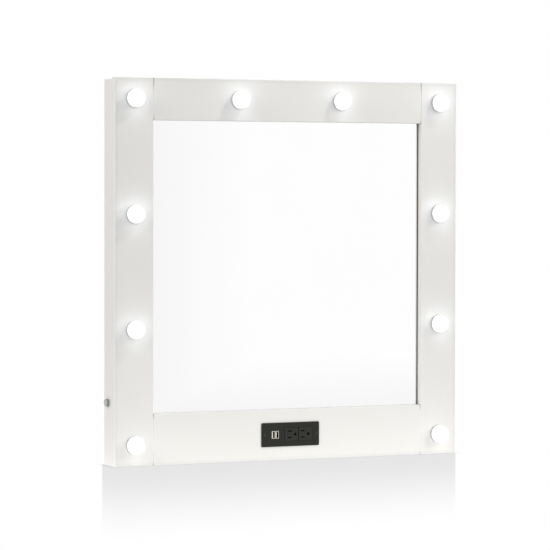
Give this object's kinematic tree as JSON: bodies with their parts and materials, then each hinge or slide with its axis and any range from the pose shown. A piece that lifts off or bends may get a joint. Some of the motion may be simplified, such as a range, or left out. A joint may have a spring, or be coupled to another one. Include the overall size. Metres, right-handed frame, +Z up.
{
  "type": "lighted vanity mirror",
  "caption": "Square free-standing vanity mirror in a white board frame with round LED lamps, a side dimmer knob and a power and USB unit in the bottom rail.",
  "frame": {"origin": "middle of the footprint, on the floor", "axes": "+X to the viewer's right, -Y out of the mirror towards the viewer, +Z up"},
  "size_m": [0.7434, 0.0868, 0.74],
  "materials": {
    "white_board": "satin white lacquer on fibreboard",
    "white_box": "satin white lacquer on fibreboard",
    "hardboard": "white-faced hardboard, matt",
    "bare_wood": "bare softwood",
    "mirror_glass": "silvered float glass",
    "backing_board": "bare hardboard",
    "lamp_globe": "milky diffuser, lit",
    "lamp_base": "moulded white-grey plastic",
    "socket_plastic": "moulded black thermoplastic",
    "contact_metal": "stamped brass",
    "screw_steel": "zinc-plated steel",
    "clip_steel": "zinc-plated steel",
    "knob_metal": "satin turned aluminium",
    "shaft_metal": "turned steel",
    "dimmer_plastic": "moulded plastic with a metal bush",
    "charcoal_plastic": "fine-textured charcoal plastic",
    "charcoal_insert": "satin charcoal plastic",
    "housing_plastic": "moulded black plastic",
    "usb_metal": "nickel-plated steel",
    "usb_tongue": "moulded cream plastic",
    "circuit_board": "green circuit board",
    "driver_plastic": "moulded white plastic",
    "inlet_plastic": "moulded black plastic",
    "plate_screw": "black-nickel plated steel",
    "cable_jacket": "white cable jacket"
  },
  "bodies": {
    "frame": {"left_stile": "white_board", "right_stile": "white_board", "top_rail": "white_board", "bottom_rail": "white_board", "left_side_panel": "white_box", "right_side_panel": "white_box", "top_panel": "white_box", "bottom_panel": "white_box", "back_panel": "hardboard", "back_panel_screws": "screw_steel", "dowels": "bare_wood", "mirror_glass": "mirror_glass", "mirror_backing": "backing_board", "mirror_clips": "clip_steel", "mirror_clip_screws": "screw_steel", "lamp_sockets": "socket_plastic", "lamp_socket_contacts": "contact_metal", "lamp_socket_screws": "screw_steel", "cables": "cable_jacket", "dimmer_body": "dimmer_plastic", "dimmer_nut": "shaft_metal", "dimmer_washer": "shaft_metal", "power_faceplate": "charcoal_plastic", "power_housing": "housing_plastic", "outlet_faces": "charcoal_insert", "outlet_contacts": "contact_metal", "usb_shells": "usb_metal", "usb_tongues": "usb_tongue", "usb_board": "circuit_board", "power_screws": "plate_screw", "driver_case": "driver_plastic", "driver_cover": "driver_plastic", "driver_screws": "screw_steel", "mains_inlet": "inlet_plastic", "mains_inlet_pins": "contact_metal", "hanger_blocks": "bare_wood", "hanger_plates": "clip_steel", "hanger_screws": "screw_steel"},
    "dimmer": {"dimmer_knob": "knob_metal", "dimmer_shaft": "shaft_metal"},
    "lamp_01": {"lamp_01_globe": "lamp_globe", "lamp_01_base": "lamp_base"},
    "lamp_02": {"lamp_02_globe": "lamp_globe", "lamp_02_base": "lamp_base"},
    "lamp_03": {"lamp_03_globe": "lamp_globe", "lamp_03_base": "lamp_base"},
    "lamp_04": {"lamp_04_globe": "lamp_globe", "lamp_04_base": "lamp_base"},
    "lamp_05": {"lamp_05_globe": "lamp_globe", "lamp_05_base": "lamp_base"},
    "lamp_06": {"lamp_06_globe": "lamp_globe", "lamp_06_base": "lamp_base"},
    "lamp_07": {"lamp_07_globe": "lamp_globe", "lamp_07_base": "lamp_base"},
    "lamp_08": {"lamp_08_globe": "lamp_globe", "lamp_08_base": "lamp_base"},
    "lamp_09": {"lamp_09_globe": "lamp_globe", "lamp_09_base": "lamp_base"},
    "lamp_10": {"lamp_10_globe": "lamp_globe", "lamp_10_base": "lamp_base"}
  },
  "joints": [
    {"name": "dimmer_turn", "type": "hinge", "parent": "frame", "child": "dimmer", "pos_m": [-0.367, 0.01, 0.12], "axis": [1, 0, 0], "range_deg": [-135, 135]},
    {"name": "lamp_01_pull", "type": "slide", "parent": "frame", "child": "lamp_01", "axis": [0, -1, 0], "range_m": [0, 0.05]},
    {"name": "lamp_02_pull", "type": "slide", "parent": "frame", "child": "lamp_02", "axis": [0, -1, 0], "range_m": [0, 0.05]},
    {"name": "lamp_03_pull", "type": "slide", "parent": "frame", "child": "lamp_03", "axis": [0, -1, 0], "range_m": [0, 0.05]},
    {"name": "lamp_04_pull", "type": "slide", "parent": "frame", "child": "lamp_04", "axis": [0, -1, 0], "range_m": [0, 0.05]},
    {"name": "lamp_05_pull", "type": "slide", "parent": "frame", "child": "lamp_05", "axis": [0, -1, 0], "range_m": [0, 0.05]},
    {"name": "lamp_06_pull", "type": "slide", "parent": "frame", "child": "lamp_06", "axis": [0, -1, 0], "range_m": [0, 0.05]},
    {"name": "lamp_07_pull", "type": "slide", "parent": "frame", "child": "lamp_07", "axis": [0, -1, 0], "range_m": [0, 0.05]},
    {"name": "lamp_08_pull", "type": "slide", "parent": "frame", "child": "lamp_08", "axis": [0, -1, 0], "range_m": [0, 0.05]},
    {"name": "lamp_09_pull", "type": "slide", "parent": "frame", "child": "lamp_09", "axis": [0, -1, 0], "range_m": [0, 0.05]},
    {"name": "lamp_10_pull", "type": "slide", "parent": "frame", "child": "lamp_10", "axis": [0, -1, 0], "range_m": [0, 0.05]}
  ]
}
